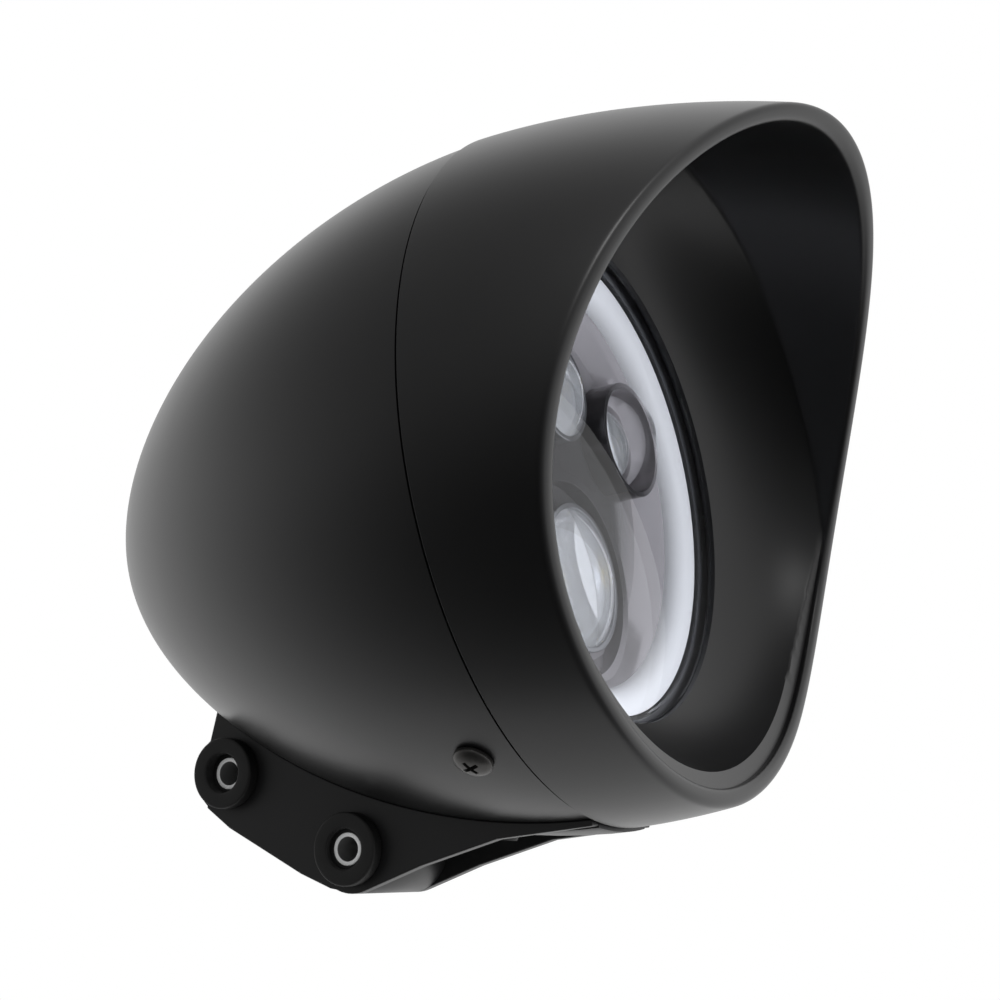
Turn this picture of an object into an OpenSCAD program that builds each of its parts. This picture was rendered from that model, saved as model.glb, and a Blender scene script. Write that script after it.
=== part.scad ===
// Visored bullet spotlight for a motorcycle, on a two-bolt rubber-bushed bracket.
// Row frame: origin on the axis of the front bracket bolt, X along that bolt, Z up,
// and the lamp shines towards -Y.

/* [Rear shell] */
// Outside diameter of the lamp at the seam
shell_d = 190; // [170:1:210]
// Length of the rear shell from the seam to its tip
shell_len = 149; // [130:1:170]
// How far the ring stands proud of the shell at the seam
seam_step = 0.8; // [0.4:0.1:1.2]
// Thickness of the shell wall
shell_wall = 2; // [1.6:0.1:3]
// Fullness of the shell's side, higher is blunter
side_power = 1.885; // [1.7:0.005:2.1]
// Fullness of the shell's tip, higher is rounder
tip_power = 1.6; // [1.45:0.05:1.8]

/* [Visor ring] */
// Forward reach of the rim at the bottom
rim_low = 28.3; // [22:0.1:34]
// Forward reach of the rim at the top, above its reach at the bottom
rim_sweep = 57; // [40:1:64]
// Height, from the lamp axis down, where the rim starts to sweep forward
rim_start = 66; // [56:1:76]
// Power of the rim's sweep
rim_power = 2.03; // [1.8:0.01:2.3]
// How much the ring narrows by the top of the rim
visor_taper = 15.8; // [10:0.1:20]
// Thickness of the visor at its lip
lip = 5.2; // [4:0.1:6.5]
// Thickness of the ring's skin behind the flare
skin = 3; // [2.4:0.1:3.6]
// Depth of the spigot that fits inside the shell
spigot_len = 18; // [17:0.5:24]
// Wall of the spigot
spigot_wall = 2.5; // [2:0.1:3]

/* [Light unit] */
// Diameter of the clear opening in front of the light unit
aperture_d = 136.6; // [130:0.2:140]
// How far the opening's edge lies in front of the seam
aperture_s = 6.6; // [5:0.1:8]
// Diameter of the unit's mounting flange
flange_d = 146; // [144:0.5:150]
// Height of the clear cover's dome
cover_dome = 3.8; // [2:0.1:6]
// Thickness of the clear cover
cover_t = 2.4; // [2:0.1:3]
// Depth of the unit's cast housing behind the seam
housing_depth = 34; // [32:0.5:40]
// Depth of the cooling fins behind the housing
fin_depth = 16; // [8:1:24]
// Distance between the middles of two cooling fins
fin_pitch = 11; // [8:0.5:14]
// Thickness of a cooling fin
fin_t = 2; // [1.5:0.1:3]
// Diameter of the lower projector lens
low_lens_d = 38; // [34:0.5:40]
// Drop of the lower projector lens below the lamp axis
low_lens_drop = 27; // [25:0.5:29]
// Diameter of the upper projector lens
high_lens_d = 26; // [22:0.5:28]
// Rise of the upper projector lens above the lamp axis
high_lens_rise = 26; // [24:0.5:29]
// Diameter of each side lens
side_lens_d = 19; // [16:0.5:20]
// Distance of a side lens from the lamp's middle plane
side_lens_x = 37.5; // [36:0.5:39]
// Rise of the side lenses above the lamp axis
side_lens_rise = 18; // [15:0.5:20]

/* [Bracket] */
// Width over the two cheeks
bracket_w = 34; // [30:0.5:40]
// Thickness of a cheek
cheek_t = 3.4; // [2.6:0.1:4]
// Thickness of the saddle under the shell
saddle_t = 1.7; // [1.4:0.1:2.5]
// Distance of the rear bolt behind the front bolt
rear_bolt_y = 39.1; // [36:0.1:44]
// Distance of the rear bolt's axis below the shell
rear_drop = 13.1; // [12.5:0.1:16]
// Diameter of the round ends of a cheek, and of the cross bosses
boss_d = 24; // [22:0.5:26]
// Distance of the front bolt behind the lamp's seam
seam_y = 74.8; // [70:0.1:80]
// Distance of the front bolt's axis below the shell
front_drop = 14.6; // [13.5:0.1:18]

/* [Bushes] */
// Bore of the steel sleeves
sleeve_bore = 6.6; // [5.4:0.1:6.8]
// Outside diameter of the steel sleeves
sleeve_d = 9; // [8:0.1:10]
// Diameter of a bush's flange
bush_flange_d = 20; // [18:0.5:22]
// Thickness of a bush's flange, which stands proud of the cheek
bush_flange_t = 4; // [3:0.1:5]
// Diameter of a bush's neck
bush_neck_d = 16; // [14.5:0.1:17]
// Depth of the front sleeve's end below the bush's face
front_recess = 2; // [1:0.1:3]
// Depth of the rear sleeve's end below the bush's face
rear_recess = 3.5; // [2:0.1:3.9]

/* [Fasteners] */
// Thread size of the two ring screws
ring_screw_d = 4.8; // [4:0.1:5]
// Head diameter of a ring screw
ring_head_d = 10.3; // [9:0.1:11]
// Distance of the ring screws behind the seam
ring_screw_s = 13; // [11:0.1:13.5]
// Angle of each ring screw from straight down
ring_screw_angle = 34.5; // [28:0.5:60]
// Thread size of the bracket screws
bracket_screw_d = 4.9; // [4:0.1:5]
// Distance of the front pair of bracket screws behind the seam
front_pair_s = 56; // [54:0.5:58]
// Distance of the rear pair of bracket screws behind the seam
rear_pair_s = 95; // [93:0.5:97]
// Distance of each bracket screw from the middle plane
pair_x = 8; // [7:0.5:8.5]
// Diameter of the hole for the cable
inlet_d = 9; // [7:0.5:10]
// Distance of the cable inlet behind the seam
inlet_s = 40; // [38:0.5:42]

/* [Hidden] */
$fn = 64;

// Clearance between faces that touch on the real lamp
touch = 0.05;
// Clearance round a fitted piece
fit = 0.15;
// Overlap that joins two solids of one piece, or carries a cut past a face
past = 1;
// Length of a cut that only has to pass through one wall
wall_cut = 20;
// Number of straight steps along a shell's curved side
side_steps = 36;
// Number of straight steps along the ring's gentle curves
ring_steps = 16;
// Number of straight steps along the rim's sweep
rim_steps = 28;

ring_r = shell_d / 2;
shell_r = ring_r - seam_step;
rim_top = rim_low + rim_sweep;
// Heights of the lamp axis and of the rear bolt above the front bolt
seam_z = shell_out(-seam_y) + front_drop;
rear_bolt_z = seam_z - shell_out(-seam_y - rear_bolt_y) - rear_drop;
spigot_r = shell_in(-spigot_len) - 2 * fit;
spigot_in = spigot_r - spigot_wall;
aperture_r = aperture_d / 2;
flange_r = flange_d / 2;

// Front edge of the shell, just behind the seam
shell_front = -0.3;
// Thickness of the ring's edge in front of the unit
seat_t = 1.4;
seat_s = aperture_s - seat_t;
// Edge of the ring at the seam
seam_edge = 0.5;
// Where the ring's flare runs into the visor's inner wall, and how full its bend is
flare_end = rim_low + 6;
flare_in = 6;
flare_on = 8;
// Where the hollow behind the flare ends
hollow_s = 18;
// Square clip nuts of the ring screws, and their gap to the spigot
clip_w = 8;
clip_t = 2.6;
clip_gap = 0.6;
// Room in front of the clip nuts, which lean with the shell
clip_room = 1.5;
// Retaining ring, in front of the clip nuts, and how it fits inside the spigot
retain_t = 2;
retain_gap = 0.3;
retain_back = clip_w / 2 + clip_room - ring_screw_s;
retain_r = spigot_in - retain_gap;
// Pocket in the ring for the unit's flange, and how far back its wall runs
pocket_r = flange_r + 0.6;
pocket_s = retain_back + retain_t + touch;
// Four bosses for the screws of the retaining ring, beside the pocket, or midway to the spigot
// where that is nearer
boss_ring_r = pocket_r + min(7, (spigot_in - pocket_r) / 2);
boss_w = 10;
boss_hole_d = 3.4;
boss_screw_head = 6.6;
boss_screw_t = 2.2;
boss_hole_len = 13;
// Rubber between the ring and the unit
gasket_t = 0.7;
// Flange of the clear cover, and the dome's edge
cover_r = flange_r - 0.4;
cover_top = seat_s - gasket_t - 2 * touch;
cover_bottom = cover_top - cover_t;
dome_s = aperture_s - 0.8;
dome_r = aperture_r - 0.4;
// Cast housing of the unit
flange_top = cover_bottom - touch;
flange_t = 3.45;
flange_back = flange_top - flange_t;
case_r = flange_r - 0.3;
housing_r = flange_r - 3;
housing_in = housing_r - 3;
housing_ledge = -12;
ledge_w = 3.5;
housing_floor = 4;
fin_r = 62;
// Boss at the back of the housing, and the hole for the wires
back_boss_r = 17;
wire_hole_r = 5;
// White ring round the reflector, with a sloping inside
halo_slope = 5.6;
halo_r = aperture_r - 2.7;
halo_in = halo_r - 8.2;
halo_top = cover_bottom - 0.8;
halo_back = -7;
// Reflector panel behind the lenses
panel_front = -10.5;
panel_slope = 8;
// Step round the lower lens, from its edge out, and its height
step_in = 8;
step_w = 3;
step_h = 6;
// Raised wall round each side lens, from its edge out, its height, and the lens's own seat
wall_in = 6;
wall_w = 1.5;
wall_h = 9.5;
seat_w = 2;
// Room between that wall and the cut in the white ring
wall_room = 0.2;
// Lenses: front edge of each lens, and how far its dome stands out
lens_s = -5;
low_dome = 6;
high_dome = 5;
side_s = -8.5;
side_dome = 3.5;
// Thickness of a lens behind its dome
lens_edge = 4;
side_edge = 3;
// Tube that holds a lens, with a ledge behind it
holder_wall = 1.6;
holder_back = -16;
holder_ledge = 1.5;
holder_rise = 0.6;
// Cup between a chip and a lens
cup_wall = 1.2;
cup_lift = 1.2;
cup_mouth = 0.4;
// Circuit board, light chips and plug
board_s = -(housing_depth - housing_floor) + touch;
board_t = 1.5;
board_r = housing_in - 4;
board_hole_r = 4;
chip = 8;
chip_t = 1;
plug_s = -housing_depth - fin_depth;
plug_r = 15;
plug_wall = 2;
plug_len = 12;
plug_floor = 3;
// Plug blades: width, thickness, how short of the socket's rim they end, and their distance out
blade = [7.9, 0.9];
blade_short = 1;
blade_out = 8;
// Bush faces, and the ends of the sleeves
cheek_x = bracket_w / 2;
bush_face = cheek_x + bush_flange_t;
// Width between the cheeks for the saddle and the cross tubes
inner_w = bracket_w - 2 * cheek_t - 2 * touch;
boss_r = boss_d / 2;
// Edge round a bush, and the mouth in it that the sleeve lies in
bush_edge = 0.7;
mouth_gap = 0.9;
mouth_edge = 0.4;
// Distance of a bush's inner end from the middle plane
neck_x = 2;
// How far the cheek's lower edge bulges past its round ends
cheek_bulge = 1.6;
// Depth of the nose below the saddle's front edge
nose_drop = -1.4;
// Where the bracket's nose starts behind the seam and its level edge ends, and where the
// bend before the front bolt lies
nose_start = 1;
nose_s = 29.4;
bend_s = 53.5;
bend_drop = 4.3;
// Angle before straight down where the lower edge meets the front boss
boss_turn = 15.4;
// Length of the saddle, from the nose to just behind the rear bolt
saddle_len = seam_y + rear_bolt_y + 2;
// Height of the webs that carry the cross bosses, and their width
web_h = 22;
web_w = boss_r;
// Washers, heads and nuts of the bracket screws
washer_r = 5;
washer_t = 1;
hex_d = 9.2;
hex_head_t = 3.5;
hex_nut_t = 4;
screw_past = 1.5;
// Ring screw: its head's straight edge and dome, its shank and its cross recess
head_edge = 0.8;
head_dome = 2.2;
shank_len = 9.2;
cross_len = 5.2;
cross_w = 1;
cross_floor = 1.1;
cross_turn = 20;
// Rubber seal between the shell and the spigot
seal_s = -5;
seal_t = 3;
// Rubber of the cable grommet round its bore
grommet_wall = 1.5;
grommet_lip = 2;
grommet_lip_t = 1.6;
grommet_gap = 0.25;
grommet_hole_d = inlet_d + 2 * grommet_wall;

// Radius at distance s in front of the seam of a bullet of radius r and length l
function bullet(s, r, l) = r * pow(1 - pow(min(1, abs(s) / l), side_power), 1 / tip_power);
// Outer radius of the shell at s
function shell_out(s) = bullet(s, shell_r, shell_len);
// Inner radius of the shell at s
function shell_in(s) = bullet(s, shell_r - shell_wall, shell_len - shell_wall);
// Lean of the shell's side at s, in degrees
function shell_lean(s) = atan(shell_out(s + 0.5) - shell_out(s - 0.5));
// Outer radius of the visor ring at s
function ring_out(s) = ring_r - visor_taper * pow(s / rim_top, 1.9);
// Reach of the rim at height z above the lamp axis
function rim(z) = rim_low + rim_sweep * pow(max(0, z + rim_start) / (rim_start + visor_top), rim_power);
// Height of the rim's top edge above the lamp axis
visor_top = ring_r - visor_taper;
// Point at t of 0 to 1 on a curve from a to c that leaves and arrives along the lines to b
function bend(a, b, c, t) = (1 - t) * (1 - t) * a + 2 * t * (1 - t) * b + t * t * c;

// Places its children in the lamp's own frame, with X to the side, Y up and Z to the front
module lamp() {
    translate([0, -seam_y, seam_z]) rotate([90, 0, 0]) children();
}

// Places its children on the underside of the shell, with Z pointing out of it
module on_shell(s, angle) {
    rotate([0, 0, angle]) translate([0, -shell_out(s), s])
        rotate([90 + shell_lean(s), 0, 0]) children();
}

// Solid bullet whose surface lies a distance grow outside the shell
module bullet_solid(grow) {
    rotate_extrude($fn = 96) polygon(concat([[0, 0]],
        [for (i = [0 : side_steps]) let (a = 90 * i / side_steps)
            [bullet(-(shell_len + grow) * sin(a), shell_r + grow, shell_len + grow),
                -(shell_len + grow) * sin(a)]]));
}

// Repeats its children at the four bracket screws
module at_bracket_screws() {
    for (s = [-front_pair_s, -rear_pair_s]) for (side = [-1, 1])
        on_shell(s, side * asin(pair_x / shell_out(s))) children();
}

// Repeats its children at one ring screw, on the side given as -1 or 1
module at_ring_screw(side) {
    on_shell(-ring_screw_s, side * ring_screw_angle) children();
}

module rear_shell() {
    color([0.05, 0.05, 0.055]) lamp() difference() {
        bullet_solid(0);
        bullet_solid(-shell_wall);
        translate([0, 0, shell_front]) cylinder(r = shell_d, h = wall_cut);
        for (side = [-1, 1]) at_ring_screw(side)
            cylinder(d = ring_screw_d + 2 * fit, h = wall_cut, center = true);
        at_bracket_screws() cylinder(d = bracket_screw_d + 2 * fit, h = wall_cut, center = true);
        on_shell(-inlet_s, 0) cylinder(d = grommet_hole_d, h = wall_cut, center = true);
    }
}

module visor_ring() {
    start = [aperture_r, aperture_s];
    corner = [ring_out(flare_end) - lip - flare_in, aperture_s + flare_on];
    finish = [ring_out(flare_end) - lip, flare_end];
    reach = rim_top + past;
    profile = concat(
        [[spigot_r, 0], [ring_r - seam_edge, 0], [ring_r, seam_edge]],
        [for (i = [1 : ring_steps]) let (s = reach * i / ring_steps) [ring_out(s), s]],
        [for (i = [ring_steps : -1 : 1])
            let (s = flare_end + (reach - flare_end) * i / ring_steps) [ring_out(s) - lip, s]],
        [for (i = [ring_steps : -1 : 0]) bend(start, corner, finish, i / ring_steps)],
        [[aperture_r, seat_s], [pocket_r, seat_s], [pocket_r, pocket_s],
            [pocket_r + skin, pocket_s], [pocket_r + skin, aperture_s + skin],
            [ring_out(hollow_s) - skin, hollow_s], [spigot_in, 0],
            [spigot_in, -spigot_len], [spigot_r, -spigot_len]]);
    color([0.05, 0.05, 0.055]) lamp() difference() {
        union() {
            difference() {
                rotate_extrude($fn = 96) polygon(profile);
                rotate([90, 0, 90]) linear_extrude(3 * ring_r, center = true)
                    polygon(concat([[-2 * ring_r, 2 * rim_top]],
                        [[-2 * ring_r, rim_low]],
                        [for (i = [0 : rim_steps])
                            let (z = -rim_start + (rim_start + ring_r) * i / rim_steps) [z, rim(z)]],
                        [[2 * ring_r, rim(ring_r)], [2 * ring_r, 2 * rim_top]]));
            }
            difference() {
                for (i = [0 : 3]) rotate([0, 0, 90 * i]) translate([0, boss_ring_r, pocket_s])
                    cylinder(d = boss_w, h = boss_hole_len + skin);
                cylinder(r = pocket_r + skin / 2, h = 4 * boss_hole_len, center = true);
            }
        }
        for (i = [0 : 3]) rotate([0, 0, 90 * i]) translate([0, boss_ring_r, pocket_s]) {
            translate([0, 0, -past]) cylinder(d = boss_hole_d, h = boss_hole_len);
            translate([0, 0, -spigot_len]) cylinder(d = boss_screw_head + 2 * fit, h = spigot_len - fit);
        }
        for (side = [-1, 1]) at_ring_screw(side)
            cylinder(d = ring_screw_d + 2 * fit, h = wall_cut, center = true);
    }
}

module shell_seal() {
    color([0.02, 0.02, 0.02]) lamp() translate([0, 0, seal_s]) difference() {
        cylinder(r = shell_in(seal_s) - touch, h = seal_t);
        translate([0, 0, -past]) cylinder(r = spigot_r + touch, h = seal_t + 2 * past);
    }
}

module unit_gasket() {
    color([0.02, 0.02, 0.02]) lamp() translate([0, 0, cover_top + touch]) difference() {
        cylinder(r = flange_r - 0.6, h = gasket_t);
        translate([0, 0, -past]) cylinder(r = aperture_r + 0.3, h = gasket_t + 2 * past);
    }
}

module lens_cover() {
    inner_r = halo_r + 0.3;
    color([0.8, 0.85, 0.9, 0.4]) lamp() rotate_extrude($fn = 96) polygon(concat(
        [[inner_r, cover_bottom], [cover_r, cover_bottom], [cover_r, cover_top],
            [dome_r, cover_top]],
        [for (i = [0 : 10]) let (r = dome_r * (1 - i / 10))
            [r, dome_s + cover_dome * (1 - pow(r / dome_r, 2))]],
        [for (i = [0 : 10]) let (r = inner_r * i / 10)
            [r, dome_s - cover_t + cover_dome * (1 - pow(r / dome_r, 2))]]));
}

module unit_housing() {
    color([0.2, 0.2, 0.21]) lamp() difference() {
        union() {
            rotate_extrude($fn = 96) polygon([[0, -housing_depth], [housing_r, -housing_depth],
                [housing_r, flange_back], [case_r, flange_back], [case_r, flange_top],
                [housing_in, flange_top], [housing_in, housing_ledge - touch],
                [housing_in - ledge_w, housing_ledge - touch],
                [housing_in - ledge_w, housing_floor - housing_depth],
                [0, housing_floor - housing_depth]]);
            intersection() {
                translate([0, 0, plug_s]) cylinder(r = fin_r, h = fin_depth + past);
                for (i = [-floor(0.95 * fin_r / fin_pitch) : floor(0.95 * fin_r / fin_pitch)])
                    translate([i * fin_pitch - fin_t / 2, -fin_r, plug_s])
                        cube([fin_t, 2 * fin_r, fin_depth + past]);
            }
            translate([0, 0, plug_s]) cylinder(r = back_boss_r, h = fin_depth + past);
        }
        translate([0, 0, plug_s - past])
            cylinder(r = wire_hole_r, h = fin_depth + housing_floor + 2 * past);
    }
}

module halo_ring() {
    color([0.95, 0.95, 0.95]) lamp() difference() {
        rotate_extrude($fn = 96) polygon([[halo_r, halo_top], [halo_r - 1, halo_top],
            [halo_in, halo_top - halo_slope], [halo_in, halo_back], [halo_r, halo_back]]);
        for (side = [-1, 1]) translate([side * side_lens_x, side_lens_rise, halo_back - past])
            cylinder(r = side_lens_d / 2 + wall_in + wall_w + wall_room, h = wall_cut);
    }
}

module inner_reflector() {
    panel_back = housing_ledge + touch;
    color([0.75, 0.76, 0.78]) lamp() difference() {
        union() {
            rotate_extrude($fn = 96) polygon([[0, panel_back], [housing_in - fit, panel_back],
                [housing_in - fit, halo_back - touch], [halo_in - touch, halo_back - touch],
                [halo_in - touch, halo_top - halo_slope], [halo_in - panel_slope, panel_front],
                [0, panel_front]]);
            intersection() {
                translate([0, -low_lens_drop, panel_back]) difference() {
                    cylinder(r = low_lens_d / 2 + step_in + step_w, h = step_h);
                    translate([0, 0, -past])
                        cylinder(r = low_lens_d / 2 + step_in, h = step_h + 2 * past);
                }
                translate([0, 0, panel_back]) cylinder(r = halo_in - touch, h = step_h);
            }
            for (side = [-1, 1]) translate([side * side_lens_x, side_lens_rise, panel_back]) {
                cylinder(d = side_lens_d + 2 * seat_w, h = side_s - panel_back);
                intersection() {
                    difference() {
                        cylinder(r = side_lens_d / 2 + wall_in + wall_w, h = wall_h);
                        translate([0, 0, -past])
                            cylinder(r = side_lens_d / 2 + wall_in, h = wall_h + 2 * past);
                    }
                    translate([-side * side_lens_x, -side_lens_rise, 0])
                        cylinder(r = halo_r - 2 * wall_w, h = wall_h);
                }
            }
        }
        for (place = [[-low_lens_drop, low_lens_d], [high_lens_rise, high_lens_d]])
            translate([0, place[0], 0])
                cylinder(d = place[1] + 2 * holder_wall + 2 * fit, h = 2 * wall_cut, center = true);
        for (side = [-1, 1]) translate([side * side_lens_x, side_lens_rise, 0])
            cylinder(d = side_lens_d + 2 * touch, h = 2 * wall_cut, center = true);
    }
}

// Plano-convex lens with its flat back at z of -back and its dome's edge at 0
module lens(d, rise, back) {
    ball_r = (d * d / 4 + rise * rise) / (2 * rise);
    intersection() {
        translate([0, 0, -back]) cylinder(d = d, h = back + rise + past);
        translate([0, 0, rise - ball_r]) sphere(r = ball_r, $fn = 96);
    }
}

// Tube that holds a lens of diameter d on a ledge
module lens_holder(d) {
    ledge_s = lens_s - lens_edge - touch;
    rotate_extrude() polygon([[d / 2 - holder_ledge, holder_back],
        [d / 2 + holder_wall, holder_back], [d / 2 + holder_wall, lens_s + holder_rise],
        [d / 2 + touch, lens_s + holder_rise], [d / 2 + touch, ledge_s],
        [d / 2 - holder_ledge, ledge_s]]);
}

// Cup that gathers the light of a chip for a lens of diameter d
module cup(d) {
    front = holder_back - 2 * touch;
    back = board_s + board_t + cup_lift;
    back_r = chip / sqrt(2) + touch;
    rotate_extrude() polygon([[back_r, back], [back_r + cup_wall, back],
        [d / 2 - cup_mouth, front], [d / 2 - cup_mouth - cup_wall, front]]);
}

module lower_lens() {
    color([0.85, 0.88, 0.92, 0.5]) lamp() translate([0, -low_lens_drop, lens_s])
        lens(low_lens_d, low_dome, lens_edge);
}

module upper_lens() {
    color([0.85, 0.88, 0.92, 0.5]) lamp() translate([0, high_lens_rise, lens_s])
        lens(high_lens_d, high_dome, lens_edge);
}

module side_lens_left() {
    color([0.85, 0.88, 0.92, 0.5]) lamp() translate([-side_lens_x, side_lens_rise, side_s])
        lens(side_lens_d, side_dome, side_edge);
}

module side_lens_right() {
    color([0.85, 0.88, 0.92, 0.5]) lamp() translate([side_lens_x, side_lens_rise, side_s])
        lens(side_lens_d, side_dome, side_edge);
}

module lower_lens_holder() {
    color([0.1, 0.1, 0.1]) lamp() translate([0, -low_lens_drop, 0]) lens_holder(low_lens_d);
}

module upper_lens_holder() {
    color([0.1, 0.1, 0.1]) lamp() translate([0, high_lens_rise, 0]) lens_holder(high_lens_d);
}

module reflector_cups() {
    color([0.85, 0.86, 0.88]) lamp() {
        translate([0, -low_lens_drop, 0]) cup(low_lens_d);
        translate([0, high_lens_rise, 0]) cup(high_lens_d);
    }
}

module led_board() {
    color([0.9, 0.9, 0.88]) lamp() translate([0, 0, board_s]) difference() {
        cylinder(r = board_r, h = board_t);
        translate([0, 0, -past]) cylinder(r = board_hole_r, h = board_t + 2 * past);
    }
}

module led_chips() {
    places = [[0, -low_lens_drop], [0, high_lens_rise],
        [-side_lens_x, side_lens_rise], [side_lens_x, side_lens_rise]];
    color([0.9, 0.8, 0.2]) lamp() for (place = places)
        translate([place.x - chip / 2, place.y - chip / 2, board_s + board_t + touch])
            cube([chip, chip, chip_t]);
}

module plug_socket() {
    color([0.05, 0.05, 0.05]) lamp() translate([0, 0, plug_s - touch - plug_len]) difference() {
        cylinder(r = plug_r, h = plug_len);
        translate([0, 0, -past]) cylinder(r = plug_r - plug_wall, h = plug_len - plug_floor + past);
        at_blades() translate([-blade[0] / 2 - touch, -blade[1] / 2 - touch, 0])
            cube([blade[0] + 2 * touch, blade[1] + 2 * touch, wall_cut]);
    }
}

// Repeats its children at the plug's three blades
module at_blades() {
    for (turn = [0, 90, -90]) rotate([0, 0, turn]) translate([0, blade_out, 0]) children();
}

module plug_blades() {
    color([0.8, 0.6, 0.25]) lamp() translate([0, 0, plug_s - touch - plug_len + blade_short]) at_blades()
        translate([-blade[0] / 2, -blade[1] / 2, 0])
            cube([blade[0], blade[1], plug_len - blade_short - 2 * touch]);
}

module retaining_ring() {
    tube_r = pocket_r - 0.4;
    color([0.65, 0.66, 0.68]) lamp() difference() {
        rotate_extrude($fn = 96) polygon([[housing_r + 2 * fit, retain_back],
            [retain_r, retain_back], [retain_r, pocket_s - touch],
            [tube_r, pocket_s - touch], [tube_r, flange_back - touch],
            [housing_r + 2 * fit, flange_back - touch]]);
        for (i = [0 : 3]) rotate([0, 0, 90 * i]) translate([0, boss_ring_r, retain_back - past])
            cylinder(d = boss_hole_d + 4 * fit, h = retain_t + 2 * past);
    }
}

module retaining_screws() {
    color([0.6, 0.6, 0.62]) lamp() for (i = [0 : 3]) rotate([0, 0, 90 * i])
        translate([0, boss_ring_r, retain_back - touch]) {
            translate([0, 0, -boss_screw_t]) cylinder(d = boss_screw_head, h = boss_screw_t);
            translate([0, 0, -boss_screw_t / 2])
                cylinder(d = boss_hole_d - 2 * touch, h = boss_hole_len);
        }
}

// Places its children on the bolt line, u towards the rear bolt and v below it
function on_line(u, v) = let (length = norm([rear_bolt_y, rear_bolt_z]))
    [(u * rear_bolt_y + v * rear_bolt_z) / length, (u * rear_bolt_z - v * rear_bolt_y) / length];

// Side outline of a cheek, with Y to the rear and Z up, its top edge inside the shell
module cheek_outline() {
    length = norm([rear_bolt_y, rear_bolt_z]);
    nose_z = seam_z - shell_out(-nose_start) - saddle_t - nose_drop;
    top_z = rear_bolt_z + web_h;
    polygon([[nose_start - seam_y, nose_z], [nose_s - seam_y, nose_z],
        [bend_s - seam_y, nose_z - bend_drop],
        [-boss_r * sin(boss_turn), -boss_r * cos(boss_turn)], [0, -boss_r],
        on_line(0.12 * boss_r, 1.05 * boss_r), on_line(boss_r, boss_r + cheek_bulge),
        on_line(length - 0.58 * boss_r, boss_r + cheek_bulge),
        on_line(length + 0.23 * boss_r, 1.01 * boss_r),
        [rear_bolt_y + 0.525 * boss_r, rear_bolt_z + 0.85 * boss_r],
        [rear_bolt_y + 0.14 * boss_r, top_z], [nose_start - seam_y, top_z]]);
}

// Hole for a bush's neck, along X through the whole bracket
module bush_hole() {
    rotate([0, 90, 0])
        cylinder(d = bush_neck_d + 4 * touch, h = bracket_w + 2 * past, center = true);
}

// Saddle plate against the shell, between the two cheeks
module mounting_bracket() {
    color([0.05, 0.05, 0.055]) lamp() difference() {
        intersection() {
            bullet_solid(saddle_t);
            translate([-inner_w / 2, -shell_d, -nose_start - saddle_len])
                cube([inner_w, shell_d, saddle_len]);
        }
        bullet_solid(touch);
        at_bracket_screws() cylinder(d = bracket_screw_d + 2 * fit, h = wall_cut, center = true);
        on_shell(-inlet_s, 0) cylinder(d = grommet_hole_d, h = wall_cut, center = true);
    }
}

// Cheek on the side given as -1 or 1, rounded about both bolts and cut to the shell
module cheek(side) {
    color([0.05, 0.05, 0.055]) difference() {
        translate([side * (cheek_x - cheek_t / 2), 0, 0]) rotate([90, 0, 90])
            linear_extrude(cheek_t, center = true) union() {
                cheek_outline();
                circle(r = boss_r, $fn = 96);
                translate([rear_bolt_y, rear_bolt_z]) circle(r = boss_r, $fn = 96);
            }
        lamp() bullet_solid(touch);
        bush_hole();
        translate([0, rear_bolt_y, rear_bolt_z]) bush_hole();
    }
}

module bracket_cheek_left() {
    cheek(-1);
}

module bracket_cheek_right() {
    cheek(1);
}

// Cross tube between the cheeks at a bolt y behind and z above the front one, with its web
module cross_boss(y, z) {
    color([0.05, 0.05, 0.055]) difference() {
        translate([0, y, z]) union() {
            rotate([0, 90, 0]) cylinder(r = boss_r, h = inner_w, center = true, $fn = 96);
            translate([-inner_w / 2, -web_w / 2, 0]) cube([inner_w, web_w, web_h]);
        }
        lamp() bullet_solid(saddle_t + touch);
        translate([0, y, z]) bush_hole();
    }
}

module bracket_boss_front() {
    cross_boss(0, 0);
}

module bracket_boss_rear() {
    cross_boss(rear_bolt_y, rear_bolt_z);
}

// Face of the washers inside the shell
washer_z = -shell_wall - 0.25;
module bracket_washers() {
    color([0.6, 0.6, 0.62]) lamp() at_bracket_screws() translate([0, 0, washer_z - washer_t])
        difference() {
            cylinder(r = washer_r, h = washer_t);
            translate([0, 0, -past])
                cylinder(d = bracket_screw_d + 2 * fit, h = washer_t + 2 * past);
    }
}

module bracket_screws() {
    color([0.6, 0.6, 0.62]) lamp() at_bracket_screws() {
        translate([0, 0, washer_z - washer_t - touch - hex_head_t]) {
            cylinder(d = hex_d, h = hex_head_t, $fn = 6);
            cylinder(d = bracket_screw_d, h = hex_head_t + washer_t + saddle_t - washer_z
                + hex_nut_t + screw_past);
        }
    }
}

module bracket_nuts() {
    color([0.6, 0.6, 0.62]) lamp() at_bracket_screws() translate([0, 0, saddle_t + 0.2])
        difference() {
            cylinder(d = hex_d, h = hex_nut_t, $fn = 6);
            translate([0, 0, -past])
                cylinder(d = bracket_screw_d + 2 * touch, h = hex_nut_t + 2 * past);
        }
}

// Rubber bush whose flange faces +X, centred on a bolt; end is where the sleeve stops
module bush(end) {
    sleeve_r = sleeve_d / 2 + touch;
    neck_r = bush_neck_d / 2;
    flange_rim = bush_flange_d / 2;
    mouth_r = sleeve_r + mouth_gap;
    rotate([0, 90, 0]) rotate_extrude() polygon([[sleeve_r, neck_x], [neck_r, neck_x],
        [neck_r, cheek_x + touch], [flange_rim, cheek_x + touch],
        [flange_rim, bush_face - bush_edge], [flange_rim - bush_edge, bush_face],
        [mouth_r + mouth_edge, bush_face], [mouth_r, bush_face - mouth_edge],
        [mouth_r, end], [sleeve_r, end]]);
}

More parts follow.
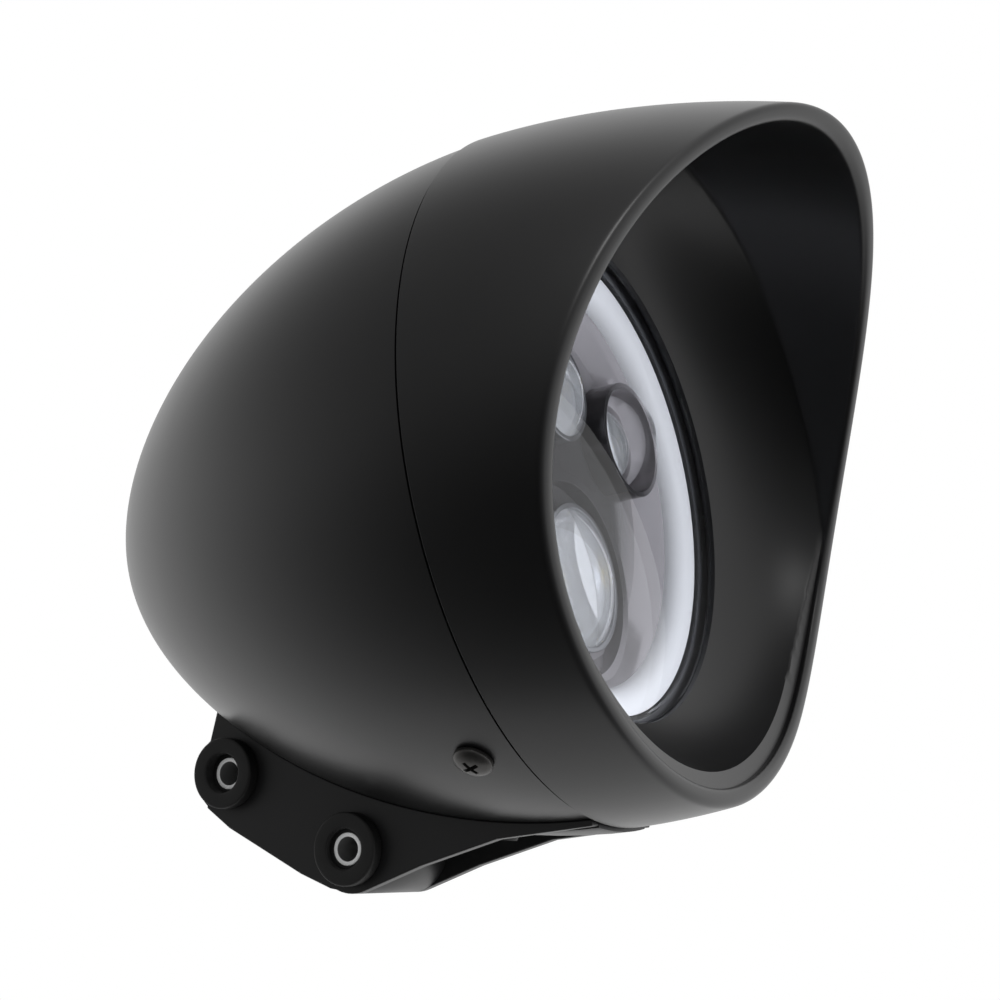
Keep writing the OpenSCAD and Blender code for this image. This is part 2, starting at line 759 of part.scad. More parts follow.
module bush_front_right() {
    color([0.03, 0.03, 0.03]) bush(bush_face - front_recess);
}

module bush_front_left() {
    color([0.03, 0.03, 0.03]) mirror([1, 0, 0]) bush(bush_face - front_recess);
}

module bush_rear_right() {
    color([0.03, 0.03, 0.03]) translate([0, rear_bolt_y, rear_bolt_z]) bush(bush_face - rear_recess);
}

module bush_rear_left() {
    color([0.03, 0.03, 0.03]) translate([0, rear_bolt_y, rear_bolt_z]) mirror([1, 0, 0])
        bush(bush_face - rear_recess);
}

// Steel sleeve that runs from side to side, short of each bush's face by recess
module sleeve(recess) {
    length = 2 * (bush_face - recess);
    rotate([0, 90, 0]) difference() {
        cylinder(d = sleeve_d, h = length, center = true);
        cylinder(d = sleeve_bore, h = length + 2 * past, center = true);
    }
}

module sleeve_front() {
    color([0.75, 0.76, 0.78]) sleeve(front_recess);
}

module sleeve_rear() {
    color([0.75, 0.76, 0.78]) translate([0, rear_bolt_y, rear_bolt_z]) sleeve(rear_recess);
}

// Pan-head screw with a cross recess, seated on the shell, with its thread inside the ring
module ring_screw(side) {
    head_r = ring_head_d / 2;
    color([0.08, 0.08, 0.08]) lamp() at_ring_screw(side) translate([0, 0, 2 * touch]) difference() {
        union() {
            rotate_extrude() polygon(concat([[0, 0], [head_r, 0], [head_r, head_edge]],
                [for (a = [15 : 15 : 90]) [head_r * cos(a), head_edge + head_dome * sin(a)]]));
            translate([0, 0, -shank_len]) cylinder(d = ring_screw_d, h = shank_len + past / 2);
        }
        translate([0, 0, cross_floor]) {
            for (turn = [0, 90]) rotate([0, 0, turn + cross_turn])
                translate([-cross_len / 2, -cross_w / 2, 0]) cube([cross_len, cross_w, head_r]);
            cylinder(r = 1.1 * cross_w, h = head_r);
        }
    }
}

module ring_screw_left() {
    ring_screw(-1);
}

module ring_screw_right() {
    ring_screw(1);
}

// Square clip nut against the inside of the spigot
module clip_nut(side) {
    top = spigot_in - shell_out(-ring_screw_s) - clip_gap;
    color([0.6, 0.6, 0.62]) lamp() at_ring_screw(side) difference() {
        translate([-clip_w / 2, -clip_w / 2, top - clip_t]) cube([clip_w, clip_w, clip_t]);
        cylinder(d = ring_screw_d + 2 * touch, h = 2 * wall_cut, center = true);
    }
}

module clip_nut_left() {
    clip_nut(-1);
}

module clip_nut_right() {
    clip_nut(1);
}

module cable_grommet() {
    neck_r = grommet_hole_d / 2 - 2 * touch;
    lip_r = neck_r + grommet_lip;
    inside = -shell_wall - 2 * grommet_gap;
    outside = saddle_t + grommet_gap;
    color([0.03, 0.03, 0.03]) lamp() on_shell(-inlet_s, 0) rotate_extrude() polygon([
        [inlet_d / 2, inside - grommet_lip_t], [lip_r, inside - grommet_lip_t], [lip_r, inside],
        [neck_r, inside], [neck_r, outside], [lip_r, outside],
        [lip_r - grommet_lip / 3, outside + grommet_lip_t],
        [inlet_d / 2, outside + grommet_lip_t]]);
}

rear_shell();
visor_ring();
shell_seal();
unit_gasket();
lens_cover();
unit_housing();
halo_ring();
inner_reflector();
lower_lens();
upper_lens();
side_lens_left();
side_lens_right();
lower_lens_holder();
upper_lens_holder();
reflector_cups();
led_board();
led_chips();
plug_socket();
plug_blades();
retaining_ring();
retaining_screws();
mounting_bracket();
bracket_cheek_left();
bracket_cheek_right();
bracket_boss_front();
bracket_boss_rear();
bracket_screws();
bracket_washers();
bracket_nuts();
bush_front_left();
bush_front_right();
bush_rear_left();
bush_rear_right();
sleeve_front();
sleeve_rear();
ring_screw_left();
ring_screw_right();
clip_nut_left();
clip_nut_right();
cable_grommet();
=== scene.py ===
"""Looks of a visored motorcycle spotlight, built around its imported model."""

import logging
import math
from dataclasses import dataclass, field
from enum import Enum
from typing import Any, Dict, List, Optional, Sequence, Tuple, Union

import bmesh
import bpy
import numpy as np
from mathutils import Matrix, Vector


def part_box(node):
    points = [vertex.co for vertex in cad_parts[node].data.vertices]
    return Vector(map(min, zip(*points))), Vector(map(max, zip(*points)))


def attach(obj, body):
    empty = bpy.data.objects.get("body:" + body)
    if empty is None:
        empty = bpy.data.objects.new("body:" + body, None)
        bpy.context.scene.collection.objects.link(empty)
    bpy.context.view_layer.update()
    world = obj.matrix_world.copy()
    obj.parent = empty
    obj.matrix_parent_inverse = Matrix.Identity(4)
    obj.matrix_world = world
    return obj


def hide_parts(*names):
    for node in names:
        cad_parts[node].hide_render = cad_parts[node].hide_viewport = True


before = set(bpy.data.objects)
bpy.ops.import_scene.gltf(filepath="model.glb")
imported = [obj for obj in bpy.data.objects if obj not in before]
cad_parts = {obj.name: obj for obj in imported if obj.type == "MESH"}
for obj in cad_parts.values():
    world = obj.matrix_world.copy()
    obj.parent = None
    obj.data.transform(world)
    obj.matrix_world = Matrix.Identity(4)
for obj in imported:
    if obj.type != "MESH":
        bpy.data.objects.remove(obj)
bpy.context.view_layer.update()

LOG = logging.getLogger("spotlight")
MM = 0.001
# Distance of the shell's front edge behind the seam, in millimetres
SETBACK = 0.3
BODY = "root"

Colour = Tuple[float, float, float]
Point2 = Tuple[float, float]
Ends = Tuple[float, float]
BLACK = (0.0, 0.0, 0.0, 1.0)
WHITE = (1.0, 1.0, 1.0, 1.0)


class MathStep(Enum):
    """Operations of a Math node that the finishes use."""

    ADD = "ADD"
    SUBTRACT = "SUBTRACT"
    MULTIPLY = "MULTIPLY"
    POWER = "POWER"
    MAXIMUM = "MAXIMUM"


class VectorStep(Enum):
    """Operations of a Vector Math node that the finishes use."""

    SUBTRACT = "SUBTRACT"
    MULTIPLY = "MULTIPLY"
    DOT = "DOT_PRODUCT"
    LENGTH = "LENGTH"


class Easing(Enum):
    """How a slope goes from one level to the other."""

    STRAIGHT = "LINEAR"
    SMOOTH = "SMOOTHSTEP"


class Side(Enum):
    """The lamp's two sides, as seen by its rider, by their direction along X."""

    LEFT = -1
    RIGHT = 1


class Bolt(Enum):
    """The bracket's two bolts."""

    FRONT = "front"
    REAR = "rear"


class Socket:
    """An output of a shader node. Arithmetic on it adds Math nodes."""

    def __init__(self, shader: "Shader", output: bpy.types.NodeSocket) -> None:
        """Keeps the shader being built and its node's output."""
        self.shader = shader
        self.output = output

    def step(self, kind: MathStep, first: "Value", second: "Value") -> "Socket":
        """Adds one Math node for two values or links and returns its result."""
        return self.shader.node("ShaderNodeMath", {"operation": kind.value}, {0: first, 1: second})

    def __add__(self, other: "Value") -> "Socket":
        """Returns the sum."""
        return self.step(MathStep.ADD, self, other)

    __radd__ = __add__

    def __sub__(self, other: "Value") -> "Socket":
        """Returns the difference."""
        return self.step(MathStep.SUBTRACT, self, other)

    def __rsub__(self, other: "Value") -> "Socket":
        """Returns the difference from a number on the left."""
        return self.step(MathStep.SUBTRACT, other, self)

    def __mul__(self, other: "Value") -> "Socket":
        """Returns the product."""
        return self.step(MathStep.MULTIPLY, self, other)

    __rmul__ = __mul__

    def __pow__(self, other: "Value") -> "Socket":
        """Returns the power."""
        return self.step(MathStep.POWER, self, other)

    def __rpow__(self, other: "Value") -> "Socket":
        """Returns the power of a number on the left."""
        return self.step(MathStep.POWER, other, self)

    def __or__(self, other: "Value") -> "Socket":
        """Returns the larger of the two values."""
        return self.step(MathStep.MAXIMUM, self, other)

    __ror__ = __or__


Value = Union[float, Socket]


class Shader:
    """Builds one node tree, of a material or of the world."""

    RANGE = ("Value", "From Min", "From Max", "To Min", "To Max")

    def __init__(self, tree: bpy.types.NodeTree) -> None:
        """Empties the node tree that is to be filled."""
        self.tree = tree
        tree.nodes.clear()

    def node(self, kind: str, settings: Optional[Dict[str, Any]] = None,
             inputs: Optional[Dict[Union[int, str], Any]] = None,
             output: Union[int, str] = 0) -> Socket:
        """Adds a node.

        Args:
            kind: The node's type.
            settings: Its properties, set first.
            inputs: Values or links of its sockets, by name or number.
            output: Which output to return.

        Returns:
            The chosen output.
        """
        made = self.tree.nodes.new(kind)
        for key, value in (settings or {}).items():
            setattr(made, key, value)
        for key, value in (inputs or {}).items():
            if isinstance(value, Socket):
                self.tree.links.new(value.output, made.inputs[key])
            else:
                made.inputs[key].default_value = value
        return Socket(self, made.outputs[output]) if made.outputs else Socket(self, None)

    def place(self) -> Socket:
        """Returns the point on the object, in metres."""
        return self.node("ShaderNodeTexCoord", output="Object")

    def noise(self, where: Socket, size_mm: float, detail: float = 3.0) -> Socket:
        """Returns a noise from 0 to 1 whose cells have a real size in millimetres."""
        return self.node("ShaderNodeTexNoise", {},
                         {"Vector": where, "Scale": 1.0 / (size_mm * MM), "Detail": detail})

    def tint(self, colour: Colour, share: Value, spread: float) -> Socket:
        """Varies a colour between a darker and a lighter form of itself.

        Args:
            colour: The middle colour.
            share: Where between the two to be, from 0 to 1.
            spread: How far the two lie from the middle, as a share of it.

        Returns:
            The colour.
        """
        dark = tuple(c * (1.0 - spread) for c in colour) + (1.0,)
        light = tuple(min(1.0, c * (1.0 + spread)) for c in colour) + (1.0,)
        return self.mix(share, dark, light)

    def mix(self, share: Value, first: Any, second: Any) -> Socket:
        """Returns a colour between two, by the share of the second."""
        return self.node("ShaderNodeMix", {"data_type": "RGBA"},
                         {"Factor": share, "A": first, "B": second}, output=2)

    def vector(self, kind: VectorStep, *values: Any, output: str = "Vector") -> Socket:
        """Adds one Vector Math node and returns its result."""
        return self.node("ShaderNodeVectorMath", {"operation": kind.value},
                         dict(enumerate(values)), output)

    def slope(self, value: Socket, ends: Ends, levels: Ends,
              ease: Easing = Easing.SMOOTH) -> Socket:
        """Returns what goes from one level to the other while a value goes between its ends."""
        return self.node("ShaderNodeMapRange", {"interpolation_type": ease.value},
                         dict(zip(self.RANGE, (value, *ends, *levels))))

    def bump(self, height: Value, strength: float, depth_mm: float) -> Socket:
        """Returns the normal of a relief whose full step has a depth in millimetres."""
        return self.node("ShaderNodeBump", {},
                         {"Height": height, "Strength": strength, "Distance": depth_mm * MM})

    def end(self, surface: Socket, kind: str = "ShaderNodeOutputMaterial") -> None:
        """Joins a surface to the tree's output node."""
        self.node(kind, {}, {"Surface": surface})


@dataclass(frozen=True)
class Finish:
    """A finish with a slow mottle in tone and gloss, and a fine grain in relief."""

    name: str
    slot: str
    colour: Colour
    roughness: float
    metallic: float = 0.0
    ior: float = 1.5
    specular: float = 0.5
    mottle_mm: float = 18.0
    mottle: float = 0.1
    gloss_spread: float = 0.08
    grain_mm: float = 0.5
    grain_depth_mm: float = 0.01

    def relief(self, shader: Shader, where: Socket) -> Socket:
        """Returns the height of the grain at a point."""
        return shader.noise(where, self.grain_mm, detail=2.0)

    def tone(self, shader: Shader, colour: Socket) -> Socket:
        """Returns the colour as it is. A finish may change it from place to place."""
        return colour

    def surface(self, shader: Shader) -> Socket:
        """Builds the surface.

        Args:
            shader: The shader being built.

        Returns:
            The surface.
        """
        where = shader.place()
        cloud = shader.noise(where, self.mottle_mm)
        low = self.roughness * (1.0 - self.gloss_spread)
        rough = cloud * (2.0 * self.gloss_spread * self.roughness) + low
        return shader.node("ShaderNodeBsdfPrincipled", {}, {
            "Base Color": self.tone(shader, shader.tint(self.colour, cloud, self.mottle)),
            "Roughness": rough, "Metallic": self.metallic, "IOR": self.ior,
            "Specular IOR Level": self.specular,
            "Normal": shader.bump(self.relief(shader, where), 1.0, self.grain_depth_mm)})

    def build(self) -> bpy.types.Material:
        """Makes the material.

        Returns:
            The finished material.
        """
        made = bpy.data.materials.new(self.name)
        made.use_nodes = True
        shader = Shader(made.node_tree)
        shader.end(self.surface(shader))
        return made


@dataclass(frozen=True)
class TurnedMetal(Finish):
    """Turned metal: its colour on the ends, painted shade in the bore, and the fine rings that a
    lathe leaves.
    """

    ring_mm: float = 0.35
    # The wave texture fits this many radians in one unit of its scale
    wave_turn: float = 20.0
    wander: float = 1.5
    # Painted shade: share of the colour kept on the faces along the axis, such as the bore
    bore_shade_level: float = 0.2
    bore_slant: float = 0.3
    end_slant: float = 0.8

    def tone(self, shader: Shader, colour: Socket) -> Socket:
        """Paints shade on the faces that lie along the X axis, such as the bore.

        Args:
            shader: The shader being built.
            colour: The metal's colour.

        Returns:
            The colour, with painted shade on the faces along the axis.
        """
        normal = shader.node("ShaderNodeTexCoord", output="Normal")
        end = shader.vector(VectorStep.MULTIPLY, normal, (1.0, 0.0, 0.0))
        end = shader.vector(VectorStep.LENGTH, end, output="Value")
        # Painted shade: faces along the axis, such as the bore, are mixed toward black
        share = shader.slope(end, (self.bore_slant, self.end_slant), (self.bore_shade_level, 1.0),
                             Easing.STRAIGHT)
        return shader.mix(share, BLACK, colour)

    def relief(self, shader: Shader, where: Socket) -> Socket:
        """Returns the height of the turning rings.

        Args:
            shader: The shader being built.
            where: The point on the object.

        Returns:
            The height.
        """
        rings = shader.node("ShaderNodeTexWave", {"wave_type": "RINGS", "rings_direction": "X"}, {
            "Vector": where, "Scale": 1.0 / (self.ring_mm * MM * self.wave_turn),
            "Distortion": self.wander, "Detail": 2.0}, output="Fac")
        return rings * 0.5 + super().relief(shader, where) * 0.5


@dataclass(frozen=True)
class ShadedMirror(Finish):
    """A mirror coat with painted shade round the lamp's axis that fades out toward the rim."""

    axis_mm: float = 91.8
    shade_r: float = 36.0
    shade_end_r: float = 54.0
    shade_level: float = 0.25

    def tone(self, shader: Shader, colour: Socket) -> Socket:
        """Paints shade on the coat by its distance from the lamp's axis.

        Args:
            shader: The shader being built.
            colour: The clear coat's colour.

        Returns:
            The colour, with painted shade near the axis.
        """
        off = shader.vector(VectorStep.SUBTRACT, shader.place(), (0.0, 0.0, self.axis_mm * MM))
        off = shader.vector(VectorStep.MULTIPLY, off, (1.0, 0.0, 1.0))
        away = shader.vector(VectorStep.LENGTH, off, output="Value")
        # Painted shade: the coat is darkened toward black near the lamp's axis
        share = shader.slope(away, (self.shade_r * MM, self.shade_end_r * MM), (self.shade_level, 1.0))
        return shader.mix(share, BLACK, colour)


@dataclass(frozen=True)
class ClearPlastic(Finish):
    """Thin clear plastic: what lies behind shows through, and a glaze lies over it."""

    glaze: float = 0.5
    wave_strength: float = 0.3
    slant_power: float = 5.0

    def surface(self, shader: Shader) -> Socket:
        """Builds a clear surface whose glaze grows with the slant of the view.

        Args:
            shader: The shader being built.

        Returns:
            The surface.
        """
        where = shader.place()
        wave = shader.bump(shader.noise(where, self.mottle_mm, detail=1.0),
                           self.wave_strength, self.grain_depth_mm)
        glaze = shader.node("ShaderNodeBsdfGlossy", {}, {
            "Color": (self.glaze,) * 3 + (1.0,), "Roughness": self.roughness, "Normal": wave})
        clear = shader.node("ShaderNodeBsdfTransparent", {}, {"Color": self.colour + (1.0,)})
        square_on = ((self.ior - 1.0) / (self.ior + 1.0)) ** 2
        slant = shader.node("ShaderNodeLayerWeight", {}, {"Blend": 0.5}, "Facing")
        share = 1.0 - (1.0 - slant ** self.slant_power) * (1.0 - square_on)
        return shader.node("ShaderNodeMixShader", {}, {0: share, 1: clear, 2: glaze})


@dataclass(frozen=True)
class OpticGlass(Finish):
    """Solid clear glass that bends light and scatters a little of it."""

    clear: float = 0.82
    flow_strength: float = 0.3

    def surface(self, shader: Shader) -> Socket:
        """Builds the glass, with faint flow lines in its face.

        Args:
            shader: The shader being built.

        Returns:
            The surface.
        """
        flow = shader.noise(shader.place(), self.mottle_mm, detail=1.0)
        return shader.node("ShaderNodeBsdfPrincipled", {}, {
            "Base Color": shader.tint(self.colour, flow, self.mottle),
            "Roughness": self.roughness, "IOR": self.ior, "Transmission Weight": self.clear,
            "Normal": shader.bump(flow, self.flow_strength, self.grain_depth_mm)})


class Finishes:
    """The finishes of the lamp, made once and shared by its pieces."""

    BLACK = Finish("satin_black", "black_metal", (0.004, 0.004, 0.0043), 0.33, mottle=0.15,
                   gloss_spread=0.05, grain_mm=0.35, grain_depth_mm=0.004)
    BRACKET = Finish("satin_black_bracket", "black_metal", (0.008, 0.008, 0.0085), 0.42,
                     mottle=0.15, grain_mm=0.3, grain_depth_mm=0.006)
    RUBBER = Finish("moulded_rubber", "rubber", (0.006, 0.006, 0.006), 0.62, mottle=0.3,
                    mottle_mm=6.0, gloss_spread=0.15, grain_mm=0.25, grain_depth_mm=0.03)
    SLEEVE = TurnedMetal("turned_sleeve", "sleeve_steel", (0.93, 0.94, 0.94), 0.45, metallic=0.25,
                         mottle=0.05, mottle_mm=3.0, grain_mm=0.2, grain_depth_mm=0.006)
    SCREW = Finish("black_oxide", "black_screw", (0.06, 0.058, 0.056), 0.3, metallic=0.8,
                   mottle=0.3, mottle_mm=2.5, gloss_spread=0.2, grain_mm=0.15)
    ZINC = Finish("zinc_plate", "zinc_steel", (0.55, 0.56, 0.58), 0.35, metallic=1.0,
                  mottle=0.12, mottle_mm=5.0, gloss_spread=0.25)
    CAST = Finish("black_casting", "cast_aluminium", (0.11, 0.11, 0.113), 0.5, metallic=0.1,
                  mottle=0.2, mottle_mm=8.0, gloss_spread=0.2, grain_mm=0.8, grain_depth_mm=0.05)
    COVER = ClearPlastic("clear_cover", "clear_cover", (0.97, 0.98, 1.0), 0.02, ior=1.49,
                         mottle_mm=30.0, grain_depth_mm=0.02)
    LENS = OpticGlass("optic_glass", "lens_glass", (0.97, 0.98, 1.0), 0.01, mottle=0.02,
                      mottle_mm=9.0, grain_depth_mm=0.004)
    HALO = Finish("milk_white", "halo_white", (0.86, 0.86, 0.87), 0.25, mottle=0.03,
                  mottle_mm=12.0, grain_depth_mm=0.002)
    MIRROR = Finish("mirror_coat", "reflector_chrome", (0.82, 0.83, 0.85), 0.08, metallic=0.6,
                    mottle=0.04, mottle_mm=15.0, gloss_spread=0.3, grain_mm=3.0,
                    grain_depth_mm=0.006)
    # Painted shade on the panel round the lamp's axis
    PANEL = ShadedMirror("mirror_with_painted_shade", "reflector_chrome", (0.38, 0.36, 0.37), 0.12,
                         metallic=0.5, mottle=0.05, mottle_mm=15.0, gloss_spread=0.3,
                         grain_mm=6.0, grain_depth_mm=0.002, shade_level=0.15)
    HOLDER = Finish("smoked_holder", "reflector_chrome", (0.3, 0.3, 0.31), 0.16, metallic=0.85,
                    mottle=0.06, mottle_mm=8.0, gloss_spread=0.2, grain_depth_mm=0.003)
    PLASTIC = Finish("black_plastic", "black_plastic", (0.012, 0.012, 0.012), 0.25, mottle=0.2,
                     mottle_mm=5.0, grain_depth_mm=0.006)
    BOARD = Finish("board_lacquer", "board_white", (0.75, 0.75, 0.72), 0.35, mottle=0.06)
    CHIP = Finish("chip_phosphor", "chip_yellow", (0.85, 0.62, 0.08), 0.5, mottle=0.15,
                  mottle_mm=2.0, grain_mm=0.2)
    BRASS = Finish("plain_brass", "blade_brass", (0.72, 0.52, 0.22), 0.3, metallic=1.0,
                   mottle=0.15, mottle_mm=4.0, gloss_spread=0.3)

    def __init__(self) -> None:
        """Starts with no material made."""
        self.made: Dict[str, bpy.types.Material] = {}

    def dress(self, piece: bpy.types.Object, finish: Finish) -> None:
        """Gives a piece its finish.

        Args:
            piece: The piece to dress.
            finish: Its finish.
        """
        if finish.name not in self.made:
            self.made[finish.name] = finish.build()
        piece.data.materials.clear()
        piece.data.materials.append(self.made[finish.name])


@dataclass(frozen=True)
class LampFrame:
    """The lamp's own axes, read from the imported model: X to the side, up, and s forward."""

    seam_y: float
    axis_z: float
    shell_r: float
    shell_len: float
    ring_r: float
    reach: float

    @classmethod
    def from_cad(cls) -> "LampFrame":
        """Reads the frame from the shell's and the ring's boxes.

        Returns:
            The lamp's frame, in millimetres.
        """
        low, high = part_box("rear_shell")
        ring_low, ring_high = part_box("visor_ring")
        seam = low.y / MM - SETBACK
        return cls(seam, (low.z + high.z) / 2 / MM, (high.z - low.z) / 2 / MM,
                   high.y / MM - seam, (ring_high.x - ring_low.x) / 2 / MM,
                   seam - ring_low.y / MM)

    def matrix(self) -> Matrix:
        """Returns the map from the lamp's axes in millimetres to the row frame in metres."""
        return Matrix(((MM, 0, 0, 0), (0, 0, -MM, self.seam_y * MM),
                       (0, MM, 0, self.axis_z * MM), (0, 0, 0, 1)))


def add_object(name: str, data: bpy.types.ID) -> bpy.types.Object:
    """Adds an object to the scene.

    Args:
        name: Its name.
        data: Its mesh, lamp or camera data.

    Returns:
        The object.
    """
    made = bpy.data.objects.new(name, data)
    bpy.context.scene.collection.objects.link(made)
    return made


class MeshMaker:
    """Makes the smooth meshes of the pieces."""

    MERGE_MM = 0.0005
    # The largest share of a side that a rounding may take
    SIDE_SHARE = 0.45

    @staticmethod
    def grid(name: str, rows: np.ndarray, matrix: Matrix, loop: bool,
             sharp_deg: float = 35.0) -> bpy.types.Object:
        """Skins rows of points that each go once round.

        Args:
            name: The piece's name.
            rows: Points in an array of rows, places and coordinates.
            matrix: Map from the points to the row frame.
            loop: Whether the last row joins the first.
            sharp_deg: Angle above which an edge stays sharp.

        Returns:
            The piece.
        """
        count, around = rows.shape[:2]
        index = np.arange(count * around).reshape(count, around)
        first = index if loop else index[:-1]
        after = np.roll(index, -1, axis=0) if loop else index[1:]
        faces = np.stack([first, after, np.roll(after, -1, axis=1), np.roll(first, -1, axis=1)],
                         axis=-1).reshape(-1, 4)
        mesh = bpy.data.meshes.new(name)
        mesh.from_pydata(rows.reshape(-1, 3).tolist(), [], faces.tolist())
        mesh.transform(matrix)
        solid = bmesh.new()
        solid.from_mesh(mesh)
        bmesh.ops.remove_doubles(solid, verts=solid.verts, dist=MeshMaker.MERGE_MM * MM)
        bmesh.ops.recalc_face_normals(solid, faces=solid.faces)
        solid.to_mesh(mesh)
        solid.free()
        mesh.shade_smooth()
        mesh.set_sharp_from_angle(angle=math.radians(sharp_deg))
        return add_object(name, mesh)

    @classmethod
    def lathe(cls, name: str, profile: Sequence[Point2], matrix: Matrix, around: int = 96,
              loop: bool = True) -> bpy.types.Object:
        """Turns a profile about the third axis.

        Args:
            name: The piece's name.
            profile: Radius and height of each point of the outline.
            matrix: Map from the turned form to the row frame.
            around: Number of places in a turn.
            loop: Whether the outline closes on itself.

        Returns:
            The piece.
        """
        angle = np.linspace(0.0, 2.0 * math.pi, around, endpoint=False)
        outline = np.array(profile, float)
        rows = np.stack([outline[:, :1] * np.sin(angle), outline[:, :1] * np.cos(angle),
                         np.repeat(outline[:, 1:], around, axis=1)], axis=-1)
        return cls.grid(name, rows, matrix, loop)

    @staticmethod
    def rounded(corners: Sequence[Point2], radius: float, steps: int = 4,
                closed: bool = True) -> List[Point2]:
        """Rounds the corners of an outline.

        Args:
            corners: The outline's corners.
            radius: Length that each corner gives up on either side.
            steps: Number of pieces in a rounding.
            closed: Whether the outline closes on itself.

        Returns:
            The points of the rounded outline.
        """
        points = [Vector(c) for c in corners]
        out: List[Point2] = []
        for i, corner in enumerate(points):
            if not closed and i in (0, len(points) - 1):
                out.append(tuple(corner))
                continue
            back = points[i - 1] - corner
            ahead = points[(i + 1) % len(points)] - corner
            cut = min(radius, MeshMaker.SIDE_SHARE * min(back.length, ahead.length))
            start = corner + back.normalized() * cut
            end = corner + ahead.normalized() * cut
            out += MeshMaker.curve(start, corner, end, steps)
        return out

    @staticmethod
    def curve(start: Vector, bend: Vector, end: Vector, steps: int) -> List[Point2]:
        """Returns points on the curve that leaves its start, and meets its end, from a bend."""
        return [tuple(start.lerp(bend, t).lerp(bend.lerp(end, t), t))
                for t in (i / steps for i in range(steps + 1))]

    @staticmethod
    def carve(piece: bpy.types.Object, cutters: Sequence[bpy.types.Object],
              sharp_deg: float = 35.0) -> None:
        """Cuts other meshes out of a piece and deletes them.

        Args:
            piece: The piece to cut.
            cutters: The meshes to take out.
            sharp_deg: Angle above which an edge stays sharp.
        """
        for cutter in cutters:
            step = piece.modifiers.new("cut", "BOOLEAN")
            step.operation = "DIFFERENCE"
            step.solver = "EXACT"
            step.object = cutter
        bpy.context.view_layer.update()
        graph = bpy.context.evaluated_depsgraph_get()
        carved = bpy.data.meshes.new_from_object(piece.evaluated_get(graph))
        piece.modifiers.clear()
        piece.data = carved
        for cutter in cutters:
            bpy.data.objects.remove(cutter)
        carved.shade_smooth()
        carved.set_sharp_from_angle(angle=math.radians(sharp_deg))


class Assembly:
    """A sub-assembly that makes pieces, dresses them and joins them to the body."""

    WELD_MM = 0.001
    EDGE_DEG = 40.0

    def __init__(self, lamp: LampFrame, finishes: Finishes) -> None:
        """Keeps the lamp's axes and the shared finishes."""
        self.lamp = lamp
        self.finishes = finishes

    def keep(self, piece: bpy.types.Object, finish: Finish, *nodes: str) -> None:
        """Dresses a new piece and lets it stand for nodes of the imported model.

        Args:
            piece: The new piece.
            finish: Its finish.
            nodes: The nodes that it stands for.
        """
        self.finishes.dress(piece, finish)
        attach(piece, BODY)
        if nodes:
            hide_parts(*nodes)
        LOG.info("made %s for %s, %d faces", piece.name, ", ".join(nodes) or "itself",
                 len(piece.data.polygons))

    def dress(self, finish: Finish, *nodes: str, edge_mm: float = 0.0) -> None:
        """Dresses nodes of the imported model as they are.

        Args:
            finish: Their finish.
            nodes: The nodes' names.
            edge_mm: Width of the softened edges, or 0 for none.
        """
        for piece in (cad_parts[node] for node in nodes):
            self.finishes.dress(piece, finish)
            if edge_mm:
                weld = piece.modifiers.new("weld", "WELD")
                weld.merge_threshold = self.WELD_MM * MM
                edge = piece.modifiers.new("edge", "BEVEL")
                edge.width = edge_mm * MM
                edge.segments = 2
                edge.limit_method = "ANGLE"
                edge.angle_limit = math.radians(self.EDGE_DEG)
            LOG.info("dressed %s in %s", piece.name, finish.name)


@dataclass
class BulletForm:
    """The bullet's outline: a radius that falls off behind the seam."""

    side_power: float = 1.885
    tip_power: float = 1.6

    def radius(self, behind: float, radius: float, length: float) -> float:
        """Returns the radius behind the seam, from the radius there and the length."""
        share = min(1.0, behind / length) ** self.side_power
        return radius * (1.0 - share) ** (1.0 / self.tip_power)

    def point(self, behind: float, radius: float, length: float) -> Point2:
        """Returns the outline's point behind the seam: its radius and place on the axis."""
        return self.radius(behind, radius, length), -behind


@dataclass
class ShellSizes:
    """Sizes of the rear shell, in millimetres."""

    form: BulletForm = field(default_factory=BulletForm)
    wall: float = 2.0
    wall_start: float = 1.0
    groove_w: float = 0.5
    groove_depth: float = 1.2
    first_row: float = 0.4
    rows: int = 110
    inner_skip: int = 3
    around: int = 288


class RearShell(Assembly):
    """The bullet-shaped shell behind the seam."""

    sizes = ShellSizes()

    def build(self) -> None:
        """Makes the shell as one smooth turned form with its wall."""
        size, lamp = self.sizes, self.lamp
        outer_r, outer_len = lamp.shell_r, lamp.shell_len
        inner_r, inner_len = outer_r - size.wall, outer_len - size.wall
        turn = [math.sin(math.pi / 2 * i / size.rows) for i in range(size.rows + 1)]
        first = SETBACK + size.groove_w
        outer = [size.form.point(first, outer_r, outer_len)] + [
            size.form.point(outer_len * part, outer_r, outer_len) for part in turn
            if outer_len * part > first + size.first_row]
        inner = [size.form.point(inner_len * part, inner_r, inner_len)
                 for part in turn[::-size.inner_skip]
                 if inner_len * part > SETBACK + size.wall_start]
        step_r = lamp.shell_r - size.groove_depth
        lip = [(inner_r, -SETBACK), (step_r, -SETBACK), (step_r, -first)]
        shell = MeshMaker.lathe("rear_shell_skin", outer + inner + lip, lamp.matrix(),
                                size.around)
        self.keep(shell, Finishes.BLACK, "rear_shell")


@dataclass
class VisorSizes:
    """Sizes of the visor ring, in millimetres."""

    rim_low: float = 28.3
    rim_start: float = 66.0
    rim_power: float = 2.03
    taper: float = 15.8
    taper_power: float = 1.9
    lip: float = 5.2
    lip_round: float = 2.3
    lip_power: float = 2.6
    aperture_r: float = 68.3
    aperture_s: float = 6.6
    seat: float = 1.4
    flare_past: float = 6.0
    flare_in: float = 6.0
    flare_rise: float = 8.0
    spigot_r: float = 90.7
    spigot_len: float = 4.0
    spigot_wall: float = 2.5
    chamfer: float = 0.35
    lip_room: float = 0.5
    outer_rows: int = 56
    lip_rows: int = 22
    flare_rows: int = 60
    wall_rows: int = 20
    inner_rows: int = 70
    rim_passes: int = 40
    around: int = 384


